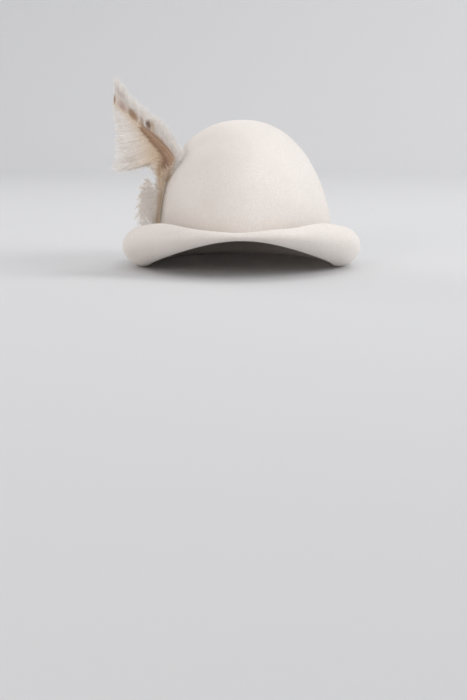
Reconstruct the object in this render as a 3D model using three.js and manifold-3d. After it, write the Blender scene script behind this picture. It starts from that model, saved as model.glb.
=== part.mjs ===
// A cream felt hat: a dome crown and a brim rolled up all round, blocked from one piece of felt,
// with two feathers and a downy tuft tucked behind the brim on the wearer's right side.
// Millimetres, +Z up. The wearer looks along -Y, so the wearer's right is -X.
// Angles round the hat run from the front: 0 is the front, +90 the wearer's left, 180 the back.

import * as THREE from 'three';
import Module from 'manifold-3d';
import { mergeVertices } from 'three/addons/utils/BufferGeometryUtils.js';

// Felt
const FELT = 2.4;
const FLAT_DEPTH = 0.9; // how far the felt is pressed flat where the hat rests

// Fold: the lowest line of the hat, where the crown's wall turns out into the brim
// frontShape below 0 narrows the front of an oval, backShape above 0 fills out its back
const FOLD = { halfWidth: 80, front: 95, back: 106, frontShape: -0.25, backShape: 0.17 };
const FRONT_LIFT = 31; // the fold rises to an arch at the front
const LIFT_START = 11; // y at which the rise begins
const LIFT_POWER = 1.57;
const TURN_RADIUS = 5;

// Brim: rolled out and up from the fold to a free edge
const ROLL = { halfWidth: 97.5, front: 101.5, back: 123, frontShape: -0.03, backShape: 0.24 };
const EDGE_ANGLE = 48; // how far the roll turns in again past its widest line
const BRIM_HEIGHT = [
  { angle: 0, height: 5 },
  { angle: 22, height: 10 },
  { angle: 50, height: 23 },
  { angle: 90, height: 27 },
  { angle: 135, height: 25 },
  { angle: 180, height: 24 },
];

// Crown
const CROWN_HEIGHT = 119;
const CROWN_SET_BACK = 8; // the top sits this far behind the middle of the fold
const CROWN_SIDE_POWER = 2.25;
const CROWN_TOP_POWER = 2.1;
const CROWN_ROUND_FROM = 0.35; // above this rise the front of the crown is a plain ellipse
const DENT_DROP = 0.5; // a dent also lowers the felt, by this share of its depth
const DENTS = [
  { angle: -36, rise: 0.6, depth: 4, spread: 26, reach: 0.2 },
  { angle: 40, rise: 0.64, depth: 2, spread: 24, reach: 0.18 },
  { angle: 176, rise: 0.7, depth: 2.5, spread: 30, reach: 0.18 },
];

// Felt mesh
const COLUMNS = 64;
const CROWN_ROWS = 15;
const TURN_ROWS = 4;
const ROLL_ROWS = 8;
const EDGE_ROUND = 0.4; // how far the rounded edge stands out, as a share of the felt

// Feathers
const SEAT_GAP = 0.3;
const VANE = 1.1; // thickness of a vane
const QUILL_RISES = [0.07, 0.13, 0.19, 0.25, 0.31]; // a quill lies against the crown at these rises
const QUILL_ROUND = 0.9; // 1 gives a quill a full round section, less leaves its sides blunt
const SHAFT_BLEND = 0.25; // the shaft thins to the vane over this share of a barb
const BARB_SHARES = [-1, -0.62, -0.24, 0, 0.24, 0.62, 1]; // from the left barb's end to the right's
const STEPS_PER_LOCK = 4;
const LOCK_NOTCH = 0.16; // depth of the notches between locks, as a share of the barb
const SWEEP = 0.4; // a feather's plane runs back by this share of its way out to the side

// Rows from the foot of the vane to the tip: the shaft, and the ends of its barbs on either side,
// as seen from the front. depth is where the feather's plane meets x = 0.
const LONG_FEATHER = {
  meridian: -70,
  depth: -50.8,
  quillRadius: 1.3,
  tipRadius: 0.7,
  curl: 5, // how far the ends of the barbs bend back out of the plane
  locks: 11,
  rows: [
    { x: -65.2, z: 75, rightX: -61.5, rightZ: 79.5, leftX: -68.6, leftZ: 76.6 },
    { x: -62.6, z: 87, rightX: -56.5, rightZ: 94, leftX: -78, leftZ: 83.8 },
    { x: -64.8, z: 94, rightX: -58.5, rightZ: 108, leftX: -104.5, leftZ: 81.5 },
    { x: -73.8, z: 107.8, rightX: -72.5, rightZ: 123, leftX: -104.5, leftZ: 101 },
    { x: -87.5, z: 120.5, rightX: -89, rightZ: 137, leftX: -105, leftZ: 118 },
    { x: -103.5, z: 133, rightX: -105, rightZ: 157, leftX: -105.5, leftZ: 131 },
  ],
};

const SHORT_FEATHER = {
  meridian: -64,
  depth: -57.3,
  quillRadius: 1.1,
  tipRadius: 0.6,
  curl: 2,
  locks: 8,
  rows: [
    { x: -62.1, z: 72, rightX: -60.9, rightZ: 73, leftX: -66, leftZ: 76 },
    { x: -58.2, z: 79, rightX: -56.4, rightZ: 80.4, leftX: -64, leftZ: 82.5 },
    { x: -53.4, z: 87, rightX: -47.9, rightZ: 93, leftX: -62, leftZ: 88.5 },
    { x: -57.8, z: 95, rightX: -55.3, rightZ: 104.3, leftX: -68.5, leftZ: 98 },
    { x: -67, z: 104, rightX: -68, rightZ: 121.5, leftX: -76, leftZ: 106.3 },
    { x: -78, z: 114, rightX: -79, rightZ: 121, leftX: -83, leftZ: 115 },
  ],
};

// Down: a head that sits on the short feather's quill, and the tip of each lock that springs from it
const DOWN_HEAD = { lowRise: 0.11, highRise: 0.29, radius: 2.6, endShare: 0.3, sides: 10, steps: 8 };
const DOWN_SEAT = 2 * SHORT_FEATHER.quillRadius + 2 * SEAT_GAP; // distance of the head from the felt
const DOWN_ROOT_RISE = 0.25;
const DOWN_LOCK = { halfWidth: 3.6, halfDepth: 1.1, rise: 6, sides: 8 };
const DOWN_SWELL = [
  { share: 0, width: 0.5, depth: 0.5 },
  { share: 0.17, width: 0.7, depth: 0.7 },
  { share: 0.33, width: 0.85, depth: 0.85 },
  { share: 0.5, width: 1, depth: 1 },
  { share: 0.67, width: 0.75, depth: 0.75 },
  { share: 0.83, width: 0.42, depth: 0.5 },
  { share: 1, width: 0.12, depth: 0.4 },
];
const DOWN_TIPS = [
  { x: -73, y: -42, z: 42 },
  { x: -77, y: -41, z: 38 },
  { x: -81, y: -39, z: 39 },
  { x: -82, y: -37, z: 45 },
  { x: -81.5, y: -36, z: 52 },
  { x: -80.5, y: -35, z: 59 },
  { x: -79, y: -35, z: 66 },
  { x: -76, y: -36, z: 72 },
];

// Colours
const IVORY_FELT = { color: 0xe9e2da, roughness: 0.95, metalness: 0 };
const CREAM_FEATHER = { color: 0xe4dacd, roughness: 0.8, metalness: 0 };
const BROWN_FEATHER = { color: 0xa2886f, roughness: 0.8, metalness: 0 };
const PALE_DOWN = { color: 0xe8e0d8, roughness: 0.95, metalness: 0 };

const { degToRad, clamp, lerp } = THREE.MathUtils;
const wasm = await Module();
wasm.setup();

// A point in plan on an oval whose front and back halves have their own length and shape
function ovalPoint(angle, oval, inset = 0, frontShape = oval.frontShape) {
  const toFront = Math.cos(angle) > 0;
  const shape = toFront ? frontShape : oval.backShape;
  const length = (toFront ? oval.front : oval.back) - inset;
  const x = (oval.halfWidth - inset) * Math.sin(angle) * (1 + shape * Math.cos(angle) ** 2);
  return new THREE.Vector2(x, -length * Math.cos(angle));
}

function foldHeight(y) {
  const share = clamp((LIFT_START - y) / (FOLD.front + LIFT_START), 0, 1);
  return FRONT_LIFT * share ** LIFT_POWER;
}

const brimHeights = new THREE.CubicInterpolant(
  BRIM_HEIGHT.map((row) => row.angle),
  BRIM_HEIGHT.map((row) => row.height),
  1,
);
brimHeights.settings = { endingStart: THREE.ZeroSlopeEnding, endingEnd: THREE.ZeroSlopeEnding };

function brimHeight(angle) {
  const [height] = brimHeights.evaluate(Math.abs(THREE.MathUtils.radToDeg(angle)));
  return height;
}

function dentDepth(angle, rise) {
  let depth = 0;
  for (const dent of DENTS) {
    const turn = angle - degToRad(dent.angle);
    const across = Math.atan2(Math.sin(turn), Math.cos(turn)) / degToRad(dent.spread);
    const along = (rise - dent.rise) / dent.reach;
    depth += dent.depth * Math.exp(-(across ** 2) - along ** 2);
  }
  return depth;
}

// Middle of the felt on the crown: rise 0 is the foot of the wall, 1 the top
function crownPoint(angle, rise) {
  const roundness = Math.min(1, rise / CROWN_ROUND_FROM);
  const wall = ovalPoint(angle, FOLD, TURN_RADIUS, lerp(FOLD.frontShape, 0, roundness));
  const foot = foldHeight(ovalPoint(angle, FOLD).y) + TURN_RADIUS;
  const turn = (rise * Math.PI) / 2;
  const spread = Math.max(0, Math.cos(turn)) ** (2 / CROWN_SIDE_POWER);
  const climb = Math.sin(turn) ** (2 / CROWN_TOP_POWER);
  const dent = dentDepth(angle, rise) * spread;
  const inward = wall.clone().normalize().multiplyScalar(dent);
  return new THREE.Vector3(
    wall.x * spread - inward.x,
    wall.y * spread - inward.y + CROWN_SET_BACK * rise,
    foot + (CROWN_HEIGHT - foot) * climb - dent * DENT_DROP,
  );
}

// Middle of the felt in the quarter turn from the crown's wall to the fold
function turnPoint(angle, share) {
  const fold = ovalPoint(angle, FOLD);
  const wall = ovalPoint(angle, FOLD, TURN_RADIUS);
  const turn = (share * Math.PI) / 2;
  const plan = fold.clone().lerp(wall, Math.cos(turn));
  return new THREE.Vector3(plan.x, plan.y, foldHeight(fold.y) + TURN_RADIUS * (1 - Math.sin(turn)));
}

// Middle of the felt in the rolled brim, from the fold to the free edge
function rollPoint(angle, share) {
  const fold = ovalPoint(angle, FOLD);
  const widest = ovalPoint(angle, ROLL);
  const edge = degToRad(EDGE_ANGLE);
  const radius = brimHeight(angle) / (1 + Math.sin(edge));
  const turn = -Math.PI / 2 + (Math.PI / 2 + edge) * share;
  const plan = fold.clone().lerp(widest, Math.cos(turn));
  return new THREE.Vector3(plan.x, plan.y, foldHeight(fold.y) + radius * (1 + Math.sin(turn)));
}

// Rows of the felt from just below the top of the crown to the free edge of the brim
function feltRows() {
  const rows = [];
  for (let i = 1; i <= CROWN_ROWS; i += 1) {
    rows.push((angle) => crownPoint(angle, 1 - i / CROWN_ROWS));
  }
  for (let i = 1; i <= TURN_ROWS; i += 1) {
    rows.push((angle) => turnPoint(angle, i / TURN_ROWS));
  }
  for (let i = 1; i <= ROLL_ROWS; i += 1) {
    rows.push((angle) => rollPoint(angle, i / ROLL_ROWS));
  }
  return rows;
}

// Lowers the hat so that its fold is pressed flat on the plane z = 0
function settle(point) {
  const lowered = point.clone();
  lowered.z = Math.max(0, point.z + FELT / 2 - FLAT_DEPTH);
  return lowered;
}

function geometryFrom(points, triangles) {
  const geometry = new THREE.BufferGeometry();
  const flat = points.flatMap((point) => [point.x, point.y, point.z]);
  geometry.setAttribute('position', new THREE.Float32BufferAttribute(flat, 3));
  geometry.setIndex(triangles);
  return geometry;
}

// Closes rings of equal length into one solid, with a fan on the first and on the last ring
function loftRings(rings) {
  const count = rings[0].length;
  const points = rings.flat();
  const triangles = [];
  for (let row = 0; row + 1 < rings.length; row += 1) {
    for (let i = 0; i < count; i += 1) {
      const next = (i + 1) % count;
      const a = row * count + i;
      const b = row * count + next;
      const c = a + count;
      const d = b + count;
      triangles.push(a, b, d, a, d, c);
    }
  }
  const middle = (ring) => ring.reduce((sum, p) => sum.add(p), new THREE.Vector3()).divideScalar(count);
  const first = points.push(middle(rings[0])) - 1;
  const last = points.push(middle(rings.at(-1))) - 1;
  const lastRing = (rings.length - 1) * count;
  for (let i = 0; i < count; i += 1) {
    const next = (i + 1) % count;
    triangles.push(first, next, i);
    triangles.push(last, lastRing + i, lastRing + next);
  }
  return geometryFrom(points, triangles);
}

// The felt: its middle surface thickened to both sides, with a rounded free edge
function feltBody() {
  const top = crownPoint(0, 1);
  const rows = feltRows();
  const angles = Array.from({ length: COLUMNS }, (_, j) => ((j - COLUMNS / 2) * 2 * Math.PI) / COLUMNS);
  const middle = rows.map((rowPoint) => angles.map(rowPoint));
  const along = (i, j) => {
    const from = i === 0 ? top : middle[i - 1][j];
    const to = i + 1 === rows.length ? middle[i][j] : middle[i + 1][j];
    return to.clone().sub(from).normalize();
  };
  const around = (i, j) => {
    const from = middle[i][(j + COLUMNS - 1) % COLUMNS];
    const to = middle[i][(j + 1) % COLUMNS];
    return to.clone().sub(from).normalize();
  };
  const side = (offset) => middle.map((row, i) => row.map((point, j) => {
    const normal = along(i, j).cross(around(i, j)).normalize();
    return settle(point.clone().addScaledVector(normal, offset));
  }));
  const upper = side(FELT / 2);
  const under = side(-FELT / 2);
  const lastRow = rows.length - 1;
  const edge = middle[lastRow].map((point, j) => (
    settle(point.clone().addScaledVector(along(lastRow, j), FELT * EDGE_ROUND))
  ));
  const rings = [...upper, edge, ...under.reverse()];
  const points = rings.flat();
  const triangles = [];
  for (let i = 0; i + 1 < rings.length; i += 1) {
    for (let j = 0; j < COLUMNS; j += 1) {
      const a = i * COLUMNS + j;
      const d = i * COLUMNS + ((j + 1) % COLUMNS);
      triangles.push(a, a + COLUMNS, d + COLUMNS, a, d + COLUMNS, d);
    }
  }
  const upperTop = points.push(settle(new THREE.Vector3(top.x, top.y, top.z + FELT / 2))) - 1;
  const underTop = points.push(settle(new THREE.Vector3(top.x, top.y, top.z - FELT / 2))) - 1;
  const lastRing = (rings.length - 1) * COLUMNS;
  for (let j = 0; j < COLUMNS; j += 1) {
    const next = (j + 1) % COLUMNS;
    triangles.push(upperTop, j, next);
    triangles.push(underTop, lastRing + next, lastRing + j);
  }
  return geometryFrom(points, triangles);
}

// A point at a distance outside the felt of the crown, on the hat as it rests
function offCrown(meridian, rise, distance) {
  const angle = degToRad(meridian);
  const step = 0.01;
  const point = crownPoint(angle, rise);
  const down = crownPoint(angle, rise - step).sub(crownPoint(angle, rise + step));
  const around = crownPoint(angle + step, rise).sub(crownPoint(angle - step, rise));
  const normal = down.cross(around).normalize();
  return settle(point.addScaledVector(normal, FELT / 2 + distance));
}

// Smooth curve on a feather's plane through two columns of its table
function curveOn(feather, xColumn, zColumn) {
  const points = feather.rows.map((row) => (
    new THREE.Vector3(row[xColumn], feather.depth - SWEEP * row[xColumn], row[zColumn])
  ));
  return new THREE.CatmullRomCurve3(points, false, 'centripetal');
}

// A feather: a round quill that lies against the crown, then a shaft with a vane on either side
// whose edge is notched into locks
function featherBody(feather) {
  const backward = new THREE.Vector3(SWEEP, 1, 0).normalize();
  const sideways = new THREE.Vector3(1, -SWEEP, 0).normalize();
  const shaft = curveOn(feather, 'x', 'z');
  const barbs = { right: curveOn(feather, 'rightX', 'rightZ'), left: curveOn(feather, 'leftX', 'leftZ') };
  const ringOf = (middles, halves) => [
    ...middles.map((point, k) => point.clone().addScaledVector(backward, -halves[k])),
    ...middles.map((point, k) => point.clone().addScaledVector(backward, halves[k])).reverse(),
  ];
  const rings = [];

  for (const rise of QUILL_RISES) {
    const centre = offCrown(feather.meridian, rise, feather.quillRadius + SEAT_GAP);
    const radius = feather.quillRadius;
    const middles = BARB_SHARES.map((q) => centre.clone().addScaledVector(sideways, q * radius));
    const halves = BARB_SHARES.map((q) => radius * Math.sqrt(1 - (QUILL_ROUND * q) ** 2));
    rings.push(ringOf(middles, halves));
  }

  const steps = feather.locks * STEPS_PER_LOCK;
  for (let i = 0; i <= steps; i += 1) {
    const share = i / steps;
    const centre = shaft.getPoint(share);
    const reach = 1 - (LOCK_NOTCH * (i % STEPS_PER_LOCK)) / STEPS_PER_LOCK;
    const shaftHalf = lerp(feather.quillRadius, feather.tipRadius, share);
    const middles = BARB_SHARES.map((q) => {
      const end = (q < 0 ? barbs.left : barbs.right).getPoint(share);
      const flat = centre.clone().lerp(end, Math.abs(q) * reach);
      return flat.addScaledVector(backward, feather.curl * q * q);
    });
    const halves = BARB_SHARES.map((q) => {
      const blend = Math.min(1, Math.abs(q) / SHAFT_BLEND);
      return lerp(shaftHalf, VANE / 2, blend);
    });
    rings.push(ringOf(middles, halves));
  }
  return loftRings(rings);
}

function solidFrom(geometry) {
  const bare = geometry.clone();
  bare.deleteAttribute('normal');
  bare.deleteAttribute('uv');
  const merged = mergeVertices(bare);
  return new wasm.Manifold(new wasm.Mesh({
    numProp: 3,
    vertProperties: new Float32Array(merged.attributes.position.array),
    triVerts: new Uint32Array(merged.index.array),
  }));
}

function geometryOf(solid) {
  const mesh = solid.getMesh();
  const geometry = new THREE.BufferGeometry();
  geometry.setAttribute('position', new THREE.BufferAttribute(new Float32Array(mesh.vertProperties), 3));
  geometry.setIndex(new THREE.BufferAttribute(new Uint32Array(mesh.triVerts), 1));
  return geometry;
}

// One lock of down: a flat blade that springs from the head and droops to its tip
function downLock(start, end) {
  const middle = start.clone().lerp(end, 0.5);
  middle.z += DOWN_LOCK.rise;
  const path = new THREE.QuadraticBezierCurve3(start, middle, end);
  const depthAxis = new THREE.Vector3(0, 1, 0);
  const rings = DOWN_SWELL.map((row) => {
    const centre = path.getPoint(row.share);
    const widthAxis = path.getTangent(row.share).cross(depthAxis).normalize();
    return Array.from({ length: DOWN_LOCK.sides }, (_, k) => {
      const turn = (-k * 2 * Math.PI) / DOWN_LOCK.sides;
      return centre.clone()
        .addScaledVector(widthAxis, DOWN_LOCK.halfWidth * row.width * Math.cos(turn))
        .addScaledVector(depthAxis, DOWN_LOCK.halfDepth * row.depth * Math.sin(turn));
    });
  });
  return loftRings(rings);
}

// The head of the down: a spindle that lies on the quill
function downHead() {
  const rings = [];
  for (let i = 0; i <= DOWN_HEAD.steps; i += 1) {
    const share = i / DOWN_HEAD.steps;
    const radius = DOWN_HEAD.radius * lerp(DOWN_HEAD.endShare, 1, Math.sin(share * Math.PI));
    const rise = lerp(DOWN_HEAD.lowRise, DOWN_HEAD.highRise, share);
    const centre = offCrown(SHORT_FEATHER.meridian, rise, radius + DOWN_SEAT);
    rings.push(Array.from({ length: DOWN_HEAD.sides }, (_, k) => {
      const turn = (k * 2 * Math.PI) / DOWN_HEAD.sides;
      return new THREE.Vector3(Math.cos(turn), Math.sin(turn), 0).multiplyScalar(radius).add(centre);
    }));
  }
  return loftRings(rings);
}

// The downy tuft: the head with its locks fused to it
function downBody() {
  const root = offCrown(SHORT_FEATHER.meridian, DOWN_ROOT_RISE, DOWN_HEAD.radius + DOWN_SEAT);
  let solid = solidFrom(downHead());
  for (const tip of DOWN_TIPS) {
    solid = solid.add(solidFrom(downLock(root, new THREE.Vector3(tip.x, tip.y, tip.z))));
  }
  return geometryOf(solid);
}

function named(name, geometry, finish) {
  const mesh = new THREE.Mesh(geometry, new THREE.MeshStandardMaterial(finish));
  mesh.name = name;
  return mesh;
}

const hat = new THREE.Group();
hat.add(
  named('felt_body', feltBody(), IVORY_FELT),
  named('feather_long', featherBody(LONG_FEATHER), CREAM_FEATHER),
  named('feather_short', featherBody(SHORT_FEATHER), BROWN_FEATHER),
  named('feather_down', downBody(), PALE_DOWN),
);

// The origin is under the middle of the hat, on the plane that it rests on
const box = new THREE.Box3().setFromObject(hat, true);
hat.position.set(-(box.min.x + box.max.x) / 2, -(box.min.y + box.max.y) / 2, -box.min.z);

export default hat;
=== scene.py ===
# A cream felt hat with a rolled brim, two feathers and a tuft of down, on a pale studio floor.
# Sizes are millimetres in the hat's own frame, as in the part's source, and the meshes are in metres.
import math

import bpy
import numpy as np
from mathutils import Matrix, Vector, noise


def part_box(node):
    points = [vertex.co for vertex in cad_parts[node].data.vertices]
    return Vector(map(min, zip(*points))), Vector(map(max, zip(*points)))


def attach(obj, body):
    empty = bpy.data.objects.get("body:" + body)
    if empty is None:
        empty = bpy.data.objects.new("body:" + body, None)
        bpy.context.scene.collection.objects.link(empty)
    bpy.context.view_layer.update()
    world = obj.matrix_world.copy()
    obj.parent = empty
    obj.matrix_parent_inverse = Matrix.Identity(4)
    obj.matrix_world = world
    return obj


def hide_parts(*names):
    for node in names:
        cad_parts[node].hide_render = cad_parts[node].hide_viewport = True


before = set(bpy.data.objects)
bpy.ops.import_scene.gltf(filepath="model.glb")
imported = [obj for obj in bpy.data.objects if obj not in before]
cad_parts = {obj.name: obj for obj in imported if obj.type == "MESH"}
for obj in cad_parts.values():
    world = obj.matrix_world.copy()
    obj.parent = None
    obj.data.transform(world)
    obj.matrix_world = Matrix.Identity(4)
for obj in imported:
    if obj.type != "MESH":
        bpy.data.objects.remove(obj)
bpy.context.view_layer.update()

MM = 0.001
SEEDS = {"long_feather": 12, "short_feather": 13, "down": 16, "felt_nap": 20}

# Felt, as in the part's source
FELT = 2.4
FLAT_DEPTH = 0.9
FOLD = {"half_width": 80, "front": 95, "back": 106, "front_shape": -0.25, "back_shape": 0.17}
FRONT_LIFT = 31
LIFT_START = 11
LIFT_POWER = 1.57
TURN_RADIUS = 5
ROLL = {"half_width": 97.5, "front": 101.5, "back": 123, "front_shape": -0.03, "back_shape": 0.24}
EDGE_ANGLE = 48
BRIM_ANGLES = np.array([0.0, 22, 50, 90, 135, 180])
BRIM_HEIGHTS = np.array([5.0, 10, 23, 27, 25, 24])
CROWN_HEIGHT = 119
CROWN_SET_BACK = 8
CROWN_SIDE_POWER = 2.25
CROWN_TOP_POWER = 2.1
CROWN_ROUND_FROM = 0.35
DENT_DROP = 0.5
DENTS = [
    {"angle": -36, "rise": 0.6, "depth": 4, "spread": 26, "reach": 0.2},
    {"angle": 40, "rise": 0.64, "depth": 2, "spread": 24, "reach": 0.18},
    {"angle": 176, "rise": 0.7, "depth": 2.5, "spread": 30, "reach": 0.18},
]

# Fine felt: rows of the mesh, the unevenness of hand blocking, and the nap
COLUMNS = 256
CROWN_ROWS = 92
TURN_ROWS = 10
ROLL_ROWS = 44
EDGE_ROWS = 7
EDGE_REACH = 0.96
UNEVEN = [{"depth": 0.9, "size": 55}, {"depth": 0.35, "size": 17}]
EDGE_WAVE = {"height": 0.9, "size": 38, "offset": 3.7}
ROLL_PRESS = 2.5
NAP = {
    "count": 60000, "length": 1.3, "lengths": (0.4, 1.3), "width": 0.05, "lean": 0.62, "clear_of_floor": 2.5,
    "tangle": 0.9, "bend_at": 0.55, "bend_width": 0.7, "bend_lift": 0.08, "tip_lean": 0.15,
}
FIBRE_TURNS = [(0, 0, 20), (75, 10, 70), (30, 80, -40)]
FIBRE_STRETCH = (5.0, 1.0, 1.0)

# Feathers: their curves are the part's, with finer tips and locks
SEAT_GAP = 0.3
QUILL_RISES = [0.07, 0.13, 0.19, 0.25, 0.31]
SWEEP = 0.4
SHARE_STEP = 0.01
LONG_FEATHER = {
    "meridian": -70,
    "depth": -50.8,
    "quill_radius": 1.3,
    "tip_radius": 0.25,
    "curl": 5,
    "locks": 13,
    "barbs": 430,
    "strays": 110,
    "rows": [
        {"x": -65.2, "z": 75, "right_x": -61.5, "right_z": 79.5, "left_x": -68.6, "left_z": 76.6},
        {"x": -62.6, "z": 87, "right_x": -56.5, "right_z": 94, "left_x": -78, "left_z": 83.8},
        {"x": -64.8, "z": 94, "right_x": -58.5, "right_z": 108, "left_x": -104.5, "left_z": 81.5},
        {"x": -73.8, "z": 107.8, "right_x": -72.5, "right_z": 123, "left_x": -104.5, "left_z": 101},
        {"x": -87.5, "z": 120.5, "right_x": -89, "right_z": 137, "left_x": -105, "left_z": 118},
        {"x": -103.5, "z": 133, "right_x": -105, "right_z": 157, "left_x": -105.5, "left_z": 131},
    ],
}
SHORT_FEATHER = {
    "meridian": -64,
    "depth": -57.3,
    "quill_radius": 1.1,
    "tip_radius": 0.2,
    "curl": 2,
    "locks": 9,
    "barbs": 330,
    "strays": 20,
    "rows": [
        {"x": -62.1, "z": 72, "right_x": -60.9, "right_z": 73, "left_x": -66, "left_z": 76},
        {"x": -58.2, "z": 79, "right_x": -56.4, "right_z": 80.4, "left_x": -64, "left_z": 82.5},
        {"x": -53.4, "z": 87, "right_x": -47.9, "right_z": 93, "left_x": -62, "left_z": 88.5},
        {"x": -57.8, "z": 95, "right_x": -55.3, "right_z": 104.3, "left_x": -68.5, "left_z": 98},
        {"x": -67, "z": 104, "right_x": -68, "right_z": 121.5, "left_x": -76, "left_z": 106.3},
        {"x": -78, "z": 114, "right_x": -79, "right_z": 121, "left_x": -83, "left_z": 115},
    ],
}

# Down: the head and the tips of its locks are the part's
DOWN_HEAD = {"low_rise": 0.11, "high_rise": 0.29, "radius": 2.6, "end_share": 0.3}
DOWN_SEAT = 2 * SHORT_FEATHER["quill_radius"] + 2 * SEAT_GAP
DOWN_ROOT_RISE = 0.25
DOWN_LOCK_RISE = 6
DOWN_TIPS = np.array([
    (-73, -42, 42), (-77, -41, 38), (-81, -39, 39), (-82, -37, 45),
    (-81.5, -36, 52), (-80.5, -35, 59), (-79, -35, 66), (-76, -36, 72),
], float)

# Fine feathers: a close layer of barbs in front and a broader one behind it
BARB_STEPS = 12
LAYERS = [{"back": 0.0, "width": 0.36}, {"back": 0.6, "width": 0.75}]
BARB = {
    "scatter": (0.1, 0.9), "uneven": 0.015, "bow": 0.09, "tilt": 0.3, "tilt_spread": 0.12, "lift": 0.12,
    "loosening": 1.5, "sway": 0.9, "wave": 0.5, "waves": 9, "taper": 0.85, "tone": 0.05,
}
LOCK = {
    "widths": (0.6, 1.5), "points": (0.2, 0.6), "gather": (0.05, 0.3),
    "half": 0.8, "notch": 0.1, "lift": 0.45,
}
RAGGED = {"until": (0.36, 0.5), "reach": 0.07, "sway": 1.6}
STRAY = {
    "shares": (0.22, 0.5), "from_shaft": (0.45, 0.97), "length": (5, 11), "fall": (0, 0.55), "spread": 0.15,
    "droop": 1.5,
}
CLOSED = {"open_from": 0.7, "barbules": {"per_barb": 8, "start": 0.5, "length": 1.8, "spread": 0.7}}
FLUFFY = {"open_from": 0.35, "barbules": {"per_barb": 20, "start": 0.25, "length": 2.6, "spread": 0.9}}
VANES = {"left": CLOSED, "right": FLUFFY}
LOOSE = {"per_barb": 16, "start": 0.08, "length": 1.4, "spread": 1.1}
LOOSE_BARB = {"steps": 10, "wave": 0.4, "waves": 7, "phase": 6, "width": 0.18, "taper": 0.8}
BARBULE = {"lengths": (0.4, 1.2), "half_width": 0.05, "nudge": 0.01}
STEM_SIDES = 10
SHAFT = {"steps": 60, "thinning": 0.4, "foot": 0.6, "tint_at": 0.05, "horn": 0.25}
FOOT_FLUFF = {
    "count": 420, "quill_rows": 12, "shaft_rows": 4, "until": 0.14, "length": (5, 10), "droop": 1.5,
    "outward": (0.1, 0.9), "forward": (-0.5, 0.9), "upward": (0.5, 1.0), "open": 0.45, "pale": (0, 0.9),
}

# Fine down: fluff on the head, and barbs to both sides of a stem in each lock
DOWN_ROWS = 9
DOWN_CORE = 0.7
DOWN_STEM = {"rows": 24, "radii": (0.3, 0.08), "sides": 6}
DOWN_CREAM = (0, 0.5)
DOWN_DROOP = 2.0
DOWN_FLUFF = {"count": 260, "way": (-0.5, -0.75, 0.35), "spread": 0.45, "length": (4, 8)}
DOWN_BARB = {
    "count": 170, "from": (0.05, 1), "length": (4, 9), "shorter": 0.35,
    "ahead": 0.9, "aside": 0.75, "spread": 0.25,
}

# Maps of the feathers and the down: strips side by side in columns, with a margin round each strip
STEM_STRIPS = 4
MAP_COLUMNS = 4
MAP_MARGIN = 0.02
STRIP_EDGES = np.array([0.1, 0.9])
BARBULE_PLACES = np.array([0.1, 0.9, 0.5])
BARBULE_FOOT = np.array([0.03, 0.03, 0.0])

# Colours, sRGB from 0 to 255
IVORY = (236, 230, 225)
DEEP_IVORY = (232, 225, 219)
NAP_IVORY = (240, 234, 227)
SHEEN_WHITE = (255, 251, 248)
CREAM = (236, 227, 216)
WHITE = (249, 245, 241)
TAN = (226, 201, 170)
BROWN = (176, 142, 114)
DARK_BROWN = (146, 114, 94)
GREY_MAUVE = (208, 182, 174)
HORN = (226, 211, 188)
STUDIO_GREY = (215, 215, 216)

# Colours of the vanes: shares along the shaft, and shares q across the vane, below 0 on the left of the shaft
SPOT_EDGE = (0.1, 1.6)
LONG_TONES = {
    "white": (0.1, 0.9), "white_out": 0.8, "white_along": 0.5, "stripe": 0.85, "stripe_from": (-0.05, 0.03),
    "stripe_until": (0.3, 0.6), "stripe_end": (0.45, 0.58),
}
LONG_SPOTS = [
    {"share": 0.67, "q": 0.2, "half_share": 0.06, "half_q": 0.3, "strength": 0.6, "colour": BROWN},
    {"share": 0.8, "q": 0.24, "half_share": 0.055, "half_q": 0.22, "strength": 0.9, "colour": BROWN},
    {"share": 0.91, "q": 0.2, "half_share": 0.05, "half_q": 0.17, "strength": 0.75, "colour": GREY_MAUVE},
    {"share": 0.93, "q": 0.58, "half_share": 0.04, "half_q": 0.13, "strength": 0.4, "colour": GREY_MAUVE},
    {"share": 0.995, "q": 0.2, "half_share": 0.018, "half_q": 0.14, "strength": 0.85, "colour": BROWN},
]
SHORT_TONES = {"brown": 0.95, "brown_until": (0.1, 0.42), "foot": 0.75, "foot_until": (0.05, 0.35)}
SHORT_SPOTS = [
    {"share": 0.88, "q": 0.5, "half_share": 0.04, "half_q": 0.3, "strength": 0.6, "colour": TAN},
    {"share": 0.935, "q": 0.52, "half_share": 0.042, "half_q": 0.27, "strength": 0.95, "colour": DARK_BROWN},
]

# Shades that materials multiply into their colours, linear
FLECK_SHADE = (0.83, 0.82, 0.81, 1)
STREAK_SHADE = (0.84, 0.82, 0.8, 1)
NO_SHADE = (1, 1, 1, 1)

# Colour sockets of Blender's Mix node
MIX_FIRST = 6
MIX_SECOND = 7
MIX_RESULT = 2

# Camera: where the hat's middle stands in the picture, and how far away the camera is
PICTURE = (467, 700)
FOCAL_PIXELS = 1400
DISTANCE = 1.17
ELEVATION = 3.5
AIM_POINT = Vector((0.0, 0.0, 0.060))
AIM_PIXEL = (238, 193)

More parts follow.
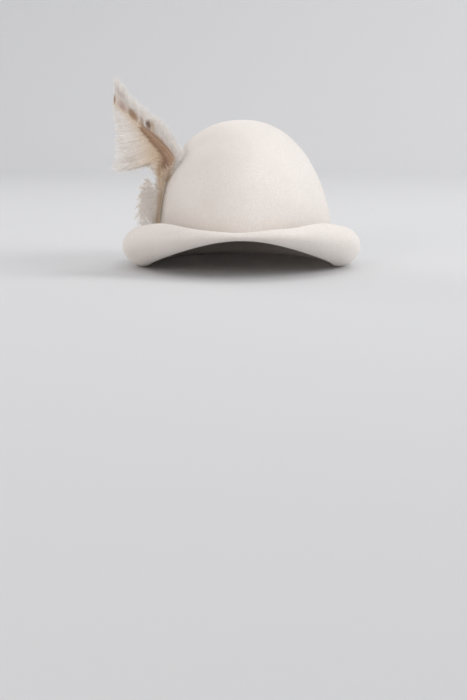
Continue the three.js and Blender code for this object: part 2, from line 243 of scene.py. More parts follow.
# Studio, in metres: a round floor with its middle in front of the hat, and a wall all round it
STUDIO = {
    "centre": (0.0, -2.4, 0.0), "floor_radius": 4.0, "height": 1.8, "columns": 128,
    "bend": 0.9, "bend_rows": 24,
}
LIGHTS = [
    {
        "name": "key", "place": (2.1, -0.5, 0.9), "target": (0, 0, 0.08),
        "size": 1.6, "spread": 80, "power": 6, "colour": (0.98, 0.99, 1.0),
    },
    {
        "name": "fill", "place": (-1.3, -2.2, 0.6), "target": (0, 0, 0.05),
        "size": 1.2, "spread": 70, "power": 2.8, "colour": (1.0, 0.92, 0.86),
    },
    {
        "name": "back", "place": (-1.7, 1.7, 0.9), "target": (0, 0, 0.08),
        "size": 1.2, "spread": 60, "power": 1.2, "colour": (0.99, 0.99, 1.0),
    },
    {
        "name": "backdrop", "place": (1.2, 0.9, 2.3), "target": (0.9, 2.6, 0.2),
        "size": 1.8, "spread": 180, "power": 22, "colour": (1.0, 1.0, 1.0),
    },
]


def linear(colour):
    """Linear RGB of an sRGB colour from 0 to 255."""
    share = np.asarray(colour, float) / 255
    return np.where(share <= 0.04045, share / 12.92, ((share + 0.055) / 1.055) ** 2.4)


def blend(a, b, share):
    return a + (b - a) * share


def smooth(low, high, value):
    """0 below low, 1 above high, and an even S between them."""
    share = np.clip((value - low) / (high - low), 0, 1)
    return share * share * (3 - 2 * share)


def unit(vectors):
    return vectors / np.linalg.norm(vectors, axis=-1, keepdims=True)


def noise_at(points, size, offset=0.0):
    """Smooth noise from about -1 to 1 at each point, with lumps of that size."""
    flat = points.reshape(-1, 3) / size + offset
    values = np.array([noise.noise(Vector(p)) for p in flat])
    return values.reshape(points.shape[:-1])


# Felt surface


def oval(angle, size, inset=0.0, front_shape=None):
    """Points in plan on an oval whose front and back halves have their own length and shape."""
    cos = np.cos(angle)
    ahead = cos > 0
    front = size["front_shape"] if front_shape is None else front_shape
    shape = np.where(ahead, front, size["back_shape"])
    length = np.where(ahead, size["front"], size["back"]) - inset
    x = (size["half_width"] - inset) * np.sin(angle) * (1 + shape * cos**2)
    return np.stack([x, -length * cos], axis=-1)


def fold_height(y):
    share = np.clip((LIFT_START - y) / (FOLD["front"] + LIFT_START), 0, 1)
    return FRONT_LIFT * share**LIFT_POWER


def brim_height(angle):
    """Height of the brim over the fold, on a smooth curve through the table."""
    turn = np.abs(np.degrees(angle))
    secants = np.diff(BRIM_HEIGHTS) / np.diff(BRIM_ANGLES)
    slopes = np.concatenate([[0], (secants[:-1] + secants[1:]) / 2, [0]])
    i = np.clip(np.searchsorted(BRIM_ANGLES, turn, side="right") - 1, 0, len(secants) - 1)
    span = BRIM_ANGLES[i + 1] - BRIM_ANGLES[i]
    p = (turn - BRIM_ANGLES[i]) / span
    from_start = BRIM_HEIGHTS[i] * (1 + 2 * p) * (1 - p) ** 2 + slopes[i] * span * p * (1 - p) ** 2
    to_end = BRIM_HEIGHTS[i + 1] * p**2 * (3 - 2 * p) + slopes[i + 1] * span * p**2 * (p - 1)
    return from_start + to_end


def dent_depth(angle, rise):
    depth = 0.0
    for dent in DENTS:
        turn = angle - math.radians(dent["angle"])
        across = np.arctan2(np.sin(turn), np.cos(turn)) / math.radians(dent["spread"])
        depth = depth + dent["depth"] * np.exp(-(across**2) - ((rise - dent["rise"]) / dent["reach"]) ** 2)
    return depth


def crown_point(angle, rise):
    """Middle of the felt on the crown: rise 0 is the foot of the wall, 1 the top."""
    front_shape = FOLD["front_shape"] * (1 - min(1, rise / CROWN_ROUND_FROM))
    wall = oval(angle, FOLD, TURN_RADIUS, front_shape)
    foot = fold_height(oval(angle, FOLD)[..., 1]) + TURN_RADIUS
    turn = rise * math.pi / 2
    spread = max(0.0, math.cos(turn)) ** (2 / CROWN_SIDE_POWER)
    climb = math.sin(turn) ** (2 / CROWN_TOP_POWER)
    dent = dent_depth(angle, rise) * spread
    plan = wall * spread - unit(wall) * dent[..., None]
    height = foot + (CROWN_HEIGHT - foot) * climb - dent * DENT_DROP
    return np.stack([plan[..., 0], plan[..., 1] + CROWN_SET_BACK * rise, height], axis=-1)


def turn_point(angle, share):
    """Middle of the felt in the quarter turn from the crown's wall to the fold."""
    fold = oval(angle, FOLD)
    turn = share * math.pi / 2
    plan = blend(fold, oval(angle, FOLD, TURN_RADIUS), math.cos(turn))
    height = fold_height(fold[..., 1]) + TURN_RADIUS * (1 - math.sin(turn))
    return np.concatenate([plan, height[..., None]], axis=-1)


def roll_point(angle, share):
    """Middle of the felt in the rolled brim, from the fold to its slightly wavy free edge."""
    fold = oval(angle, FOLD)
    edge = math.radians(EDGE_ANGLE)
    widest = oval(angle, ROLL)
    ring = np.concatenate([widest, np.zeros_like(widest[..., :1])], axis=-1)
    wave = EDGE_WAVE["height"] * noise_at(ring, EDGE_WAVE["size"], EDGE_WAVE["offset"]) * share**2
    radius = (brim_height(angle) + wave) / (1 + math.sin(edge))
    turn = -math.pi / 2 + (math.pi / 2 + edge) * share
    plan = blend(fold, widest, math.cos(turn))
    height = fold_height(fold[..., 1]) + radius * (1 + math.sin(turn))
    return np.concatenate([plan, height[..., None]], axis=-1)


def settle(points):
    """Lowers the hat so that its fold is pressed flat on the plane z = 0."""
    lowered = points.copy()
    lowered[..., 2] = np.maximum(0, points[..., 2] + FELT / 2 - FLAT_DEPTH)
    return lowered


def off_crown(meridian, rise, distance):
    """A point at a distance outside the felt of the crown."""
    angle = np.array(math.radians(meridian))
    step = 0.01
    down = crown_point(angle, rise - step) - crown_point(angle, rise + step)
    around = crown_point(angle + step, rise) - crown_point(angle - step, rise)
    normal = unit(np.cross(down, around))
    return settle(crown_point(angle, rise) + normal * (FELT / 2 + distance))


def felt_grid():
    """The felt's closed surface.

    Returns its rings, from the outer top round the free edge to the inner top, and the two tops.
    """
    angles = (np.arange(COLUMNS) - COLUMNS / 2) * 2 * math.pi / COLUMNS
    rows = [crown_point(angles, 1 - i / CROWN_ROWS) for i in range(1, CROWN_ROWS + 1)]
    rows += [turn_point(angles, i / TURN_ROWS) for i in range(1, TURN_ROWS + 1)]
    rows += [roll_point(angles, i / ROLL_ROWS) for i in range(1, ROLL_ROWS + 1)]
    middle = np.array(rows)
    top = crown_point(np.array(0.0), 1)
    above = np.concatenate([np.broadcast_to(top, middle[:1].shape), middle[:-1]])
    below = np.concatenate([middle[1:], middle[-1:]])
    along = unit(below - above)
    around = np.roll(middle, -1, axis=1) - np.roll(middle, 1, axis=1)
    normal = unit(np.cross(along, around))
    # The crown is pressed in, and the brim towards the crown, so that nothing stands outside the solid
    roll_press = smooth(0, 1, np.linspace(0, ROLL_PRESS, ROLL_ROWS))
    inward = np.concatenate([np.ones(CROWN_ROWS), np.linspace(1, 0, TURN_ROWS), -roll_press])
    for field in UNEVEN:
        depth = field["depth"] * (0.5 + 0.5 * noise_at(middle, field["size"]))
        middle = middle - normal * (depth * inward[:, None])[..., None]
    turns = np.linspace(math.pi / 2, -math.pi / 2, EDGE_ROWS + 2)[1:-1]
    edge = [
        middle[-1] + normal[-1] * (FELT / 2 * math.sin(turn)) + along[-1] * (EDGE_REACH * math.cos(turn))
        for turn in turns
    ]
    rings = np.concatenate([middle + normal * FELT / 2, np.array(edge), (middle - normal * FELT / 2)[::-1]])
    tops = np.array([top + (0, 0, FELT / 2), top - (0, 0, FELT / 2)])
    tops[:, 2] -= UNEVEN[0]["depth"] / 2
    return settle(rings), settle(tops)


def grid_faces(ring_count):
    """Quads between rings, and the triangles of the two tops, whose points follow the rings."""
    here = np.arange(COLUMNS)
    after = (here + 1) % COLUMNS
    quads = []
    for i in range(ring_count - 1):
        low = i * COLUMNS
        quads.append(np.stack([low + here, low + COLUMNS + here, low + COLUMNS + after, low + after], axis=1))
    first = ring_count * COLUMNS
    last_ring = (ring_count - 1) * COLUMNS
    faces = np.concatenate(quads).tolist()
    faces += [(first, int(j), int(k)) for j, k in zip(here, after)]
    faces += [(first + 1, int(last_ring + k), int(last_ring + j)) for j, k in zip(here, after)]
    return faces


# Pieces


def add_piece(name, points, faces, material, node=None, colours=None, places=None):
    """A smooth mesh that rides on the hat, with a colour and a place on a map at each point if given."""
    mesh = bpy.data.meshes.new(name)
    mesh.from_pydata(((points + SHIFT) * MM).tolist(), [], faces)
    mesh.shade_smooth()
    if colours is not None:
        tint = mesh.color_attributes.new("Tint", "FLOAT_COLOR", "POINT")
        tint.data.foreach_set("color", np.concatenate([colours, np.ones((len(colours), 1))], axis=1).ravel())
    if places is not None:
        corners = np.empty(len(mesh.loops), np.int32)
        mesh.loops.foreach_get("vertex_index", corners)
        layer = mesh.uv_layers.new(name="OFBake")
        layer.uv.foreach_set("vector", places[corners].astype(np.float32).ravel())
    mesh.materials.append(material)
    piece = bpy.data.objects.new(name, mesh)
    bpy.context.collection.objects.link(piece)
    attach(piece, "root")
    if node:
        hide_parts(node)


def ribbons(paths, sides, widths):
    """Flat strips along paths, each point widened to both sides. Returns points and quads."""
    half = sides * widths[..., None] / 2
    points = np.stack([paths - half, paths + half], axis=2)
    count, steps = paths.shape[:2]
    start = np.arange(count)[:, None] * steps * 2 + np.arange(steps - 1)[None] * 2
    quads = np.stack([start, start + 1, start + 3, start + 2], axis=-1)
    return points.reshape(-1, 3), quads.reshape(-1, 4)


def tube(path, radii, sides):
    """A round stem along a path, closed at both ends. Returns points and faces."""
    along = unit(np.gradient(path, axis=0))
    backward = np.array([0.0, 1.0, 0.05])
    across = unit(np.cross(along, backward))
    up = np.cross(across, along)
    turns = np.arange(sides) * 2 * math.pi / sides
    circle = across[:, None] * np.cos(turns)[None, :, None] + up[:, None] * np.sin(turns)[None, :, None]
    points = path[:, None] + circle * radii[:, None, None]
    faces = []
    for i in range(len(path) - 1):
        for k in range(sides):
            after = (k + 1) % sides
            low = i * sides
            faces.append((low + k, low + after, low + sides + after, low + sides + k))
    faces.append(tuple(range(sides - 1, -1, -1)))
    faces.append(tuple(range((len(path) - 1) * sides, len(path) * sides)))
    return points.reshape(-1, 3), faces


class Gather:
    """Collects the strands and stems of one piece. Each has a strip of its own on the piece's map."""

    def __init__(self):
        self.points = []
        self.faces = []
        self.colours = []
        self.strip = []
        self.along = []
        self.size = 0
        self.strips = 0

    def add(self, points, faces, colours, strip, along):
        self.faces.extend(tuple(int(i) + self.size for i in face) for face in faces)
        self.points.append(points)
        self.colours.append(colours)
        self.strip.append(np.broadcast_to(strip, len(points)))
        self.along.append(np.broadcast_to(along, len(points)))
        self.size += len(points)

    def add_stem(self, path, radii, colours, sides=STEM_SIDES):
        points, faces = tube(path, radii, sides)
        around = np.tile(np.linspace(*STRIP_EDGES, sides) * STEM_STRIPS, len(path))
        along = np.repeat(np.linspace(0, 1, len(path)), sides)
        colours = np.repeat(np.broadcast_to(colours, path.shape), sides, axis=0)
        self.add(points, faces, colours, self.strips + around, along)
        self.strips += STEM_STRIPS

    def add_strands(self, paths, sides, widths, colours, barbules, rng):
        count, steps = paths.shape[:2]
        points, quads = ribbons(paths, sides, widths)
        strip = self.strips + np.arange(count)
        across = (strip[:, None, None] + STRIP_EDGES) + np.zeros((1, steps, 1))
        along = np.zeros((count, 1, 2)) + np.linspace(0, 1, steps)[None, :, None]
        self.add(points, quads, np.repeat(colours.reshape(-1, 3), 2, axis=0), across.ravel(), along.ravel())
        points, triangles, tints, barb, share = fuzz(paths, colours, rng, **barbules)
        across = strip[barb][:, None] + BARBULE_PLACES
        along = share[:, None] - BARBULE_FOOT
        self.add(points, triangles, tints, across.ravel(), along.ravel())
        self.strips += count

    def piece(self, name, material, slot, node):
        strip = np.concatenate(self.strip)
        along = np.concatenate(self.along)
        rows = math.ceil(self.strips / MAP_COLUMNS)
        column = np.floor(strip / rows)
        across = column + MAP_MARGIN + (1 - 2 * MAP_MARGIN) * along
        places = np.stack([across / MAP_COLUMNS, strip / rows - column], axis=1)
        points = np.concatenate(self.points)
        colours = np.concatenate(self.colours)
        add_piece(name, points, self.faces, material, node, colours, places)


# Feathers

BACKWARD = unit(np.array([SWEEP, 1.0, 0.0]))


def curve_on(feather, x_column, z_column):
    """The part's smooth curve through two columns of a feather's table, as a function of its share."""
    rows = feather["rows"]
    table = np.array([(r[x_column], feather["depth"] - SWEEP * r[x_column], r[z_column]) for r in rows])
    points = np.concatenate([[2 * table[0] - table[1]], table, [2 * table[-1] - table[-2]]])

    def at(share):
        place = np.clip(np.atleast_1d(share), 0, 1) * (len(table) - 1)
        i = np.minimum(place.astype(int), len(table) - 2)
        p0, p1, p2, p3 = points[i], points[i + 1], points[i + 2], points[i + 3]
        gaps = [np.sqrt(np.linalg.norm(b - a, axis=1))[:, None] for a, b in ((p0, p1), (p1, p2), (p2, p3))]
        first = ((p1 - p0) / gaps[0] - (p2 - p0) / (gaps[0] + gaps[1]) + (p2 - p1) / gaps[1]) * gaps[1]
        last = ((p2 - p1) / gaps[1] - (p3 - p1) / (gaps[1] + gaps[2]) + (p3 - p2) / gaps[2]) * gaps[1]
        w = (place - i)[:, None]
        return (
            p1 + first * w + (3 * (p2 - p1) - 2 * first - last) * w**2 + (2 * (p1 - p2) + first + last) * w**3
        )

    return at


def barb_paths(feather, side, layer, open_from, rng):
    """The barbs on one side of a feather in one layer, gathered into locks.

    Returns their paths, the sides of their ribbons, and their shares along the shaft.
    """
    count = feather["barbs"]
    widths = rng.uniform(*LOCK["widths"], feather["locks"])
    edges = np.concatenate([[0], np.cumsum(widths) / widths.sum()])
    share = (np.arange(count) + rng.uniform(*BARB["scatter"], count)) / count
    lock = np.searchsorted(edges, share, side="right") - 1
    width = np.diff(edges)[lock]
    within = (share - edges[lock]) / width
    point = rng.uniform(*LOCK["points"], feather["locks"])[lock]
    gather = rng.uniform(*LOCK["gather"], feather["locks"])[lock]
    aim = edges[lock] + width * blend(within, point, gather)
    shaft = curve_on(feather, "x", "z")
    root = shaft(share)
    tangent = unit(shaft(share + SHARE_STEP) - shaft(share - SHARE_STEP))
    end = curve_on(feather, side + "_x", side + "_z")(aim)
    ragged = 1 - smooth(*RAGGED["until"], share)
    uneven = rng.normal(0, 1, count) * blend(BARB["uneven"], RAGGED["reach"], ragged)
    notch = LOCK["notch"] * ((within - point) / LOCK["half"]) ** 2
    reach = 1 - notch + np.minimum(uneven, 2 * LOCK["notch"])
    end = root + (end - root) * reach[:, None]
    length = np.linalg.norm(end - root, axis=1)[:, None]
    control = blend(root, end, 0.5) - tangent * length * BARB["bow"]
    u = np.linspace(0, 1, BARB_STEPS + 1)[None, :, None]
    paths = root[:, None] * (1 - u) ** 2 + control[:, None] * 2 * u * (1 - u) + end[:, None] * u**2
    lift = rng.normal(0, LOCK["lift"], feather["locks"])[lock] + rng.normal(0, BARB["lift"], count)
    paths = paths + BACKWARD * (layer["back"] + feather["curl"] * u**2 + lift[:, None, None] * u)
    loose = np.clip((u - open_from) / (1 - open_from), 0, 1) ** BARB["loosening"]
    sway = rng.normal(0, BARB["sway"], (count, 1, 3))
    sway = sway + rng.normal(0, BARB["wave"], (count, 1, 3)) * np.sin(BARB["waves"] * u)
    paths = paths + sway * loose * (1 + RAGGED["sway"] * ragged)[:, None, None]
    tilt = BARB["tilt"] + rng.normal(0, BARB["tilt_spread"], count)
    ribbon_side = unit(tangent + BACKWARD * tilt[:, None])
    return paths, np.repeat(ribbon_side[:, None], BARB_STEPS + 1, axis=1), share


def fuzz(paths, colours, rng, per_barb, start, length, spread):
    """Fine barbules off the outer part of each barb, one slim triangle each.

    Returns points, faces and colours, and for each barbule its barb and its share along it.
    """
    count, steps = paths.shape[:2]
    barb = np.repeat(np.arange(count), per_barb)
    u = rng.uniform(start, 1, len(barb)) * (steps - 1)
    i = np.minimum(u.astype(int), steps - 2)
    w = (u - i)[:, None]
    root = blend(paths[barb, i], paths[barb, i + 1], w)
    ahead = unit(paths[barb, i + 1] - paths[barb, i])
    aside = rng.normal(0, 1, root.shape)
    way = unit(ahead + spread * unit(aside))
    tip = root + way * (length * rng.uniform(*BARBULE["lengths"], len(barb)))[:, None]
    foot = unit(np.cross(way, BACKWARD + BARBULE["nudge"])) * BARBULE["half_width"]
    points = np.stack([root - foot, root + foot, tip], axis=1).reshape(-1, 3)
    faces = np.arange(len(points)).reshape(-1, 3)
    tints = np.repeat(colours[barb, i], 3, axis=0)
    return points, faces, tints, barb, u / (steps - 1)


def mark(share, q, spot):
    """How strongly a soft round spot shows at a share along the shaft and a share q across the vane."""
    away = ((share - spot["share"]) / spot["half_share"]) ** 2 + ((q - spot["q"]) / spot["half_q"]) ** 2
    return spot["strength"] * (1 - smooth(*SPOT_EDGE, away))


def long_colours(share, q):
    """White ends, tan at the foot and by the shaft, a brown stripe on its lower half, and spots above it."""
    out = np.abs(q)
    white = smooth(*LONG_TONES["white"], LONG_TONES["white_out"] * out + LONG_TONES["white_along"] * share)
    colour = blend(linear(TAN), linear(WHITE), white[..., None])
    stripe = smooth(*LONG_TONES["stripe_from"], q) * (1 - smooth(*LONG_TONES["stripe_until"], q))
    stripe = stripe * (1 - smooth(*LONG_TONES["stripe_end"], share))
    colour = blend(colour, linear(BROWN), LONG_TONES["stripe"] * stripe[..., None])
    for spot in LONG_SPOTS:
        colour = blend(colour, linear(spot["colour"]), mark(share, q, spot)[..., None])
    return colour


def short_colours(share, q):
    """Brown beside the shaft and on the lower vane, white fluff on the upper vane, and a dark spot."""
    brown = 1 - smooth(*SHORT_TONES["brown_until"], q)
    colour = blend(linear(WHITE), linear(BROWN), SHORT_TONES["brown"] * brown[..., None])
    foot = (1 - smooth(*SHORT_TONES["foot_until"], share)) * SHORT_TONES["foot"]
    colour = blend(colour, linear(TAN), foot[..., None])
    for spot in SHORT_SPOTS:
        colour = blend(colour, linear(spot["colour"]), mark(share, q, spot)[..., None])
    return colour


def quill_points(feather, rises):
    """Points on the middle of a quill, at rises of the crown that it lies against."""
    distance = feather["quill_radius"] + SEAT_GAP
    return np.array([off_crown(feather["meridian"], rise, distance) for rise in rises])


def shaft_of(feather, colours_of, gathered):
    """The quill against the crown and the shaft that runs out of it to the tip."""
    quill = quill_points(feather, QUILL_RISES)
    share = np.linspace(0, 1, SHAFT["steps"])
    shaft = curve_on(feather, "x", "z")(share)
    thin = blend(feather["quill_radius"], feather["tip_radius"], share ** SHAFT["thinning"])
    radii = np.concatenate([np.full(len(quill), feather["quill_radius"]), thin])
    radii[0] *= SHAFT["foot"]
    tint = blend(colours_of(share, np.full(len(share), SHAFT["tint_at"])), linear(HORN), SHAFT["horn"])
    tint = np.concatenate([np.broadcast_to(linear(HORN), quill.shape), tint])
    gathered.add_stem(np.concatenate([quill, shaft]), radii, tint)


def loose_barbs(gathered, start, way, length, droop, colours, rng):
    """Fine wavy barbs with barbules, each from a start along a way, drooping towards their ends."""
    count = len(start)
    v = np.linspace(0, 1, LOOSE_BARB["steps"])[None, :, None]
    wave = rng.normal(0, LOOSE_BARB["wave"], (count, 1, 3))
    wave = wave * np.sin(v * LOOSE_BARB["waves"] + rng.uniform(0, LOOSE_BARB["phase"], (count, 1, 1)))
    paths = start[:, None] + way[:, None] * (length[:, None, None] * v) + wave * v
    paths = paths - np.array([0.0, 0.0, droop]) * v**2
    sides = np.broadcast_to(unit(np.cross(way, BACKWARD))[:, None], paths.shape)
    widths = LOOSE_BARB["width"] * (1 - LOOSE_BARB["taper"] * v[..., 0])
    widths = np.broadcast_to(widths, paths.shape[:2])
    tints = np.broadcast_to(colours[:, None], paths.shape)
    gathered.add_strands(paths, sides, widths, tints, LOOSE, rng)


def foot_fluff(feather, gathered, rng):
    """The downy barbs round the quill, from the brim up to the foot of the vane."""
    count = FOOT_FLUFF["count"]
    quill = quill_points(feather, np.linspace(QUILL_RISES[1], QUILL_RISES[-1], FOOT_FLUFF["quill_rows"]))
    shaft = curve_on(feather, "x", "z")(np.linspace(0, FOOT_FLUFF["until"], FOOT_FLUFF["shaft_rows"]))
    stem = np.concatenate([quill, shaft])
    last_place = len(stem) - 1.001
    place = rng.uniform(0, last_place, count)
    i = place.astype(int)
    turn = math.radians(feather["meridian"])
    outward = np.array([math.sin(turn), -math.cos(turn), 0.0])
    forward = np.array([math.cos(turn), math.sin(turn), 0.0])
    open_side = outward * rng.uniform(*FOOT_FLUFF["outward"], (count, 1))
    open_side = open_side + forward * rng.uniform(*FOOT_FLUFF["forward"], (count, 1))
    start = blend(stem[i], stem[i + 1], (place - i)[:, None]) + feather["quill_radius"] * unit(open_side)
    upward = np.array([0.0, 0.0, 1.0]) * rng.uniform(*FOOT_FLUFF["upward"], (count, 1))
    way = unit(FOOT_FLUFF["open"] * open_side + upward)
    colours = blend(linear(TAN), linear(CREAM), rng.uniform(*FOOT_FLUFF["pale"], (count, 1)))
    length = rng.uniform(*FOOT_FLUFF["length"], count)
    loose_barbs(gathered, start, way, length, FOOT_FLUFF["droop"], colours, rng)


def stray_barbs(feather, colours_of, gathered, rng):
    """Barbs that have come loose along the lower edge of the left vane."""
    count = feather["strays"]
    share = rng.uniform(*STRAY["shares"], count)
    root = curve_on(feather, "x", "z")(share)
    end = curve_on(feather, "left_x", "left_z")(share)
    out = rng.uniform(*STRAY["from_shaft"], (count, 1))
    start = blend(root, end, out) + BACKWARD * feather["curl"] * out**2
    fall = np.array([0.0, 0.0, -1.0]) * rng.uniform(*STRAY["fall"], (count, 1))
    way = unit(unit(end - root) + fall + rng.normal(0, STRAY["spread"], (count, 3)))
    colours = colours_of(share, -out[:, 0])
    length = rng.uniform(*STRAY["length"], count)
    loose_barbs(gathered, start, way, length, STRAY["droop"], colours, rng)


def feather_piece(name, feather, colours_of, material, slot, node):
    """A whole feather: its shaft, the fluff at its foot, two layers of barbs, and strays."""
    rng = np.random.default_rng(SEEDS[name])
    gathered = Gather()
    shaft_of(feather, colours_of, gathered)
    foot_fluff(feather, gathered, rng)
    u = np.linspace(0, 1, BARB_STEPS + 1)
    for layer in LAYERS:
        for side, sign in (("left", -1), ("right", 1)):
            ends = VANES[side]
            paths, sides, share = barb_paths(feather, side, layer, ends["open_from"], rng)
            q = np.broadcast_to(sign * u, paths.shape[:2])
            colours = colours_of(np.broadcast_to(share[:, None], q.shape), q)
            colours = colours * (1 + rng.normal(0, BARB["tone"], (len(share), 1, 1)))
            widths = layer["width"] * (1 - BARB["taper"] * smooth(ends["open_from"], 1, u))
            widths = np.broadcast_to(widths, paths.shape[:2])
            gathered.add_strands(paths, sides, widths, colours, ends["barbules"], rng)
    stray_barbs(feather, colours_of, gathered, rng)
    gathered.piece(name, material, slot, node)


def down_tones(count, rng):
    return blend(linear(WHITE), linear(CREAM), rng.uniform(*DOWN_CREAM, (count, 1)))


def down_head(gathered, rng):
    """The soft head on the short feather's quill, with fluff all over it."""
    shares = np.linspace(0, 1, DOWN_ROWS)
    radii = DOWN_HEAD["radius"] * blend(DOWN_HEAD["end_share"], 1, np.sin(shares * math.pi))
    rises = blend(DOWN_HEAD["low_rise"], DOWN_HEAD["high_rise"], shares)
    head = np.array([
        off_crown(SHORT_FEATHER["meridian"], rise, radius + DOWN_SEAT) for rise, radius in zip(rises, radii)
    ])
    gathered.add_stem(head, radii * DOWN_CORE, linear(CREAM))
    count = DOWN_FLUFF["count"]
    start = head[rng.integers(0, len(head), count)]
    way = unit(rng.normal(0, DOWN_FLUFF["spread"], (count, 3)) + np.array(DOWN_FLUFF["way"]))
    tones = down_tones(count, rng)
    loose_barbs(gathered, start, way, rng.uniform(*DOWN_FLUFF["length"], count), DOWN_DROOP, tones, rng)


def down_lock(gathered, root, tip, rng):
    """One plume: a thin stem that rises and droops to its tip, with loose barbs to both sides."""
    u = np.linspace(0, 1, DOWN_STEM["rows"])[:, None]
    middle = blend(root, tip, 0.5) + (0, 0, DOWN_LOCK_RISE)
    stem = root * (1 - u) ** 2 + middle * 2 * u * (1 - u) + tip * u**2
    along = unit(np.gradient(stem, axis=0))
    gathered.add_stem(stem, np.linspace(*DOWN_STEM["radii"], len(u)), linear(CREAM), DOWN_STEM["sides"])
    count = DOWN_BARB["count"]
    place = rng.uniform(*DOWN_BARB["from"], count) * (len(u) - 1)
    i = np.minimum(place.astype(int), len(u) - 2)
    start = blend(stem[i], stem[i + 1], (place - i)[:, None])
    across = np.cross(along[i], np.array([0.0, 1.0, 0.0])) * rng.choice([-1.0, 1.0], (count, 1))
    scatter = rng.normal(0, DOWN_BARB["spread"], (count, 3))
    way = unit(along[i] * DOWN_BARB["ahead"] + across * DOWN_BARB["aside"] + scatter)
    length = rng.uniform(*DOWN_BARB["length"], count) * (1 - DOWN_BARB["shorter"] * place / len(u))
    loose_barbs(gathered, start, way, length, DOWN_DROOP, down_tones(count, rng), rng)


def down_piece(material):
    """The tuft: its head, and the drooping plumes that spring from it."""
    rng = np.random.default_rng(SEEDS["down"])
    gathered = Gather()
    down_head(gathered, rng)
    root = off_crown(SHORT_FEATHER["meridian"], DOWN_ROOT_RISE, DOWN_HEAD["radius"] + DOWN_SEAT)
    for tip in DOWN_TIPS:
        down_lock(gathered, root, tip, rng)
    gathered.piece("down", material, "down", "feather_down")


def nap_piece(rings, material):
    """Short loose fibres all over the felt, leaning with its brushed surface."""
    rng = np.random.default_rng(SEEDS["felt_nap"])
    count = NAP["count"]
    a = rings[:-1].reshape(-1, 3)
    b = rings[1:].reshape(-1, 3)
    c = np.roll(rings[1:], -1, axis=1).reshape(-1, 3)
    d = np.roll(rings[:-1], -1, axis=1).reshape(-1, 3)
    cross = np.cross(c - a, d - b)
    area = np.linalg.norm(cross, axis=1)
    normal = -cross / area[:, None]
    allowed = (a[:, 2] > NAP["clear_of_floor"]) * area
    pick = rng.choice(len(a), count, p=allowed / allowed.sum())
    s, t = rng.uniform(0, 1, (2, count, 1))
    root = blend(blend(a[pick], d[pick], s), blend(b[pick], c[pick], s), t)
    upright = normal[pick]
    brushed = np.cross(upright, np.array([0.0, 0.0, 1.0])) + rng.normal(0, NAP["tangle"], root.shape)
    lean = unit(brushed - upright * np.sum(brushed * upright, axis=1, keepdims=True))
    way = unit(upright * (1 - NAP["lean"]) + lean * NAP["lean"])
    length = NAP["length"] * rng.uniform(*NAP["lengths"], (count, 1))
    side = unit(np.cross(way, upright)) * NAP["width"] / 2
    bend = root + way * length * NAP["bend_at"] + upright * length * NAP["bend_lift"]
    bend_side = side * NAP["bend_width"]
    tip = root + way * length + lean * length * NAP["tip_lean"]
    points = np.stack([root - side, root + side, bend + bend_side, bend - bend_side, tip], axis=1)
    start = np.arange(count)[:, None] * points.shape[1]
    quads = (start + np.array([0, 1, 2, 3])).tolist()
    tips = (start + np.array([3, 2, 4])).tolist()
    add_piece("felt_nap", points.reshape(-1, 3), quads + tips, material)


# Materials


class Nodes:
    """A new material with a Principled shader, and short calls to add and link nodes."""

    def __init__(self, name):
        self.material = bpy.data.materials.new(name)
        self.material.use_nodes = True
        self.tree = self.material.node_tree
        self.shader = self.tree.nodes["Principled BSDF"]

    def add(self, kind, **settings):
        node = self.tree.nodes.new(kind)
        for key, value in settings.items():
            if hasattr(node, key):
                setattr(node, key, value)
            else:
                node.inputs[key.replace("_", " ")].default_value = value
        return node

    def link(self, output, node, socket):
        self.tree.links.new(output, node.inputs[socket])

    def set(self, **values):
        for key, value in values.items():
            self.shader.inputs[key.replace("_", " ")].default_value = value

    def ramp(self, source, low, low_colour, high, high_colour):
        """A colour that follows a value, from one at low to another at high."""
        node = self.add("ShaderNodeValToRGB")
        start, end = node.color_ramp.elements
        start.position = low
        start.color = low_colour
        end.position = high
        end.color = high_colour
        self.link(source, node, "Fac")
        return node.outputs["Color"]

    def colour_by(self, first, second):
        """Makes the base colour one colour times another."""
        product = self.add("ShaderNodeMix", data_type="RGBA", blend_type="MULTIPLY")
        product.inputs["Factor"].default_value = 1.0
        self.link(first, product, MIX_FIRST)
        self.link(second, product, MIX_SECOND)
        self.link(product.outputs[MIX_RESULT], self.shader, "Base Color")


def rgba(colour):
    return (*linear(colour), 1.0)


